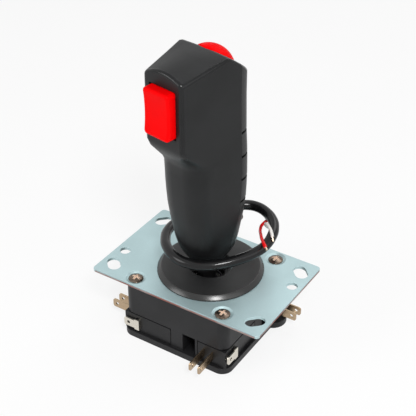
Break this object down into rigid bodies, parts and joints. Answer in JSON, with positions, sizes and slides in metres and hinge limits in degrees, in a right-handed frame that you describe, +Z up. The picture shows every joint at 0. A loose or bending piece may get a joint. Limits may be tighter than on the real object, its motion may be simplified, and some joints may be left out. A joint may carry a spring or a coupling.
{
  "type": "arcade flight joystick",
  "caption": "Panel-mount arcade flight joystick: a pistol grip with red trigger and thumb buttons on a sprung gimbal base with microswitches, and a cord round the grip.",
  "frame": {"origin": "middle of the mounting plate's top face, on the stick's axis", "axes": "+Z up along the stick at rest, X along the plate's long side, -Y on the trigger's side"},
  "size_m": [0.097, 0.086, 0.1566],
  "materials": {
    "plate_zinc": "satin zinc plating with a pale passivation",
    "screw_nickel": "bright plated",
    "steel": "turned",
    "spring_steel": "drawn wire",
    "base_black": "moulded satin",
    "washer_black": "polished",
    "switch_black": "moulded satin",
    "switch_red": "moulded",
    "brass": "stamped",
    "nylon": "moulded",
    "grip_black": "fine texture",
    "button_red": "moulded gloss",
    "grommet_rubber": "matt",
    "cord_pvc": "glossy sheath",
    "wire_red": "insulated, tinned end",
    "wire_white": "insulated, tinned end",
    "wire_black": "insulated, tinned end"
  },
  "bodies": {
    "base": {"mounting_plate": "plate_zinc", "plate_screws": "screw_nickel", "dust_washer": "washer_black", "pivot_housing": "base_black", "switch_tray": "base_black", "tray_screws": "screw_nickel", "switch_case_front": "switch_black", "switch_case_right": "switch_black", "switch_case_rear": "switch_black", "switch_case_left": "switch_black", "terminals_front": "brass", "terminals_right": "brass", "terminals_rear": "brass", "terminals_left": "brass", "gimbal_pins": "steel", "spring_washer": "steel", "centring_spring": "spring_steel"},
    "gimbal": {"gimbal_ring": "nylon", "shaft_pin": "steel"},
    "stick": {"shaft": "steel", "actuator": "nylon", "retaining_clip": "spring_steel", "shaft_nut": "steel", "grip_front_shell": "grip_black", "grip_back_cover": "grip_black", "grip_screws": "screw_nickel", "trigger_switch": "switch_black", "thumb_switch": "switch_black", "cord_grommet": "grommet_rubber", "cord_sheath": "cord_pvc", "wire_red": "wire_red", "wire_white": "wire_white", "wire_black": "wire_black"},
    "plunger_front": {"plunger_front": "switch_red"},
    "plunger_right": {"plunger_right": "switch_red"},
    "plunger_rear": {"plunger_rear": "switch_red"},
    "plunger_left": {"plunger_left": "switch_red"},
    "trigger": {"trigger": "button_red"},
    "trigger_plunger": {"trigger_plunger": "switch_red"},
    "thumb_button": {"thumb_button": "button_red"},
    "thumb_plunger": {"thumb_plunger": "switch_red"}
  },
  "joints": [
    {"name": "tilt_fore_aft", "type": "hinge", "parent": "base", "child": "gimbal", "pos_m": [0, 0, -0.013], "axis": [1, 0, 0], "range_deg": [-10, 10], "stiffness_Nm_per_rad": 1.5, "deforming": ["centring_spring"]},
    {"name": "tilt_sideways", "type": "hinge", "parent": "gimbal", "child": "stick", "pos_m": [0, 0, -0.013], "axis": [0, 1, 0], "range_deg": [-10, 10], "stiffness_Nm_per_rad": 1.5, "deforming": ["centring_spring"]},
    {"name": "plunger_front_press", "type": "slide", "parent": "base", "child": "plunger_front", "axis": [0, -1, 0], "range_m": [0, 0.0012], "stiffness_N_per_m": 800},
    {"name": "plunger_right_press", "type": "slide", "parent": "base", "child": "plunger_right", "axis": [1, 0, 0], "range_m": [0, 0.0012], "stiffness_N_per_m": 800},
    {"name": "plunger_rear_press", "type": "slide", "parent": "base", "child": "plunger_rear", "axis": [0, 1, 0], "range_m": [0, 0.0012], "stiffness_N_per_m": 800},
    {"name": "plunger_left_press", "type": "slide", "parent": "base", "child": "plunger_left", "axis": [-1, 0, 0], "range_m": [0, 0.0012], "stiffness_N_per_m": 800},
    {"name": "trigger_press", "type": "slide", "parent": "stick", "child": "trigger", "axis": [0.1736, 0.9848, 0], "range_m": [0, 0.002], "stiffness_N_per_m": 700},
    {"name": "trigger_plunger_press", "type": "slide", "parent": "stick", "child": "trigger_plunger", "axis": [0.1736, 0.9848, 0], "range_m": [0, 0.002]},
    {"name": "thumb_press", "type": "slide", "parent": "stick", "child": "thumb_button", "axis": [-0.1069, -0.6063, -0.788], "range_m": [0, 0.0018], "stiffness_N_per_m": 700},
    {"name": "thumb_plunger_press", "type": "slide", "parent": "stick", "child": "thumb_plunger", "axis": [-0.1069, -0.6063, -0.788], "range_m": [0, 0.0018]}
  ],
  "couplings": [
    {"joint": "trigger_plunger_press", "follows": "trigger_press", "ratio": 1},
    {"joint": "thumb_plunger_press", "follows": "thumb_press", "ratio": 1}
  ]
}
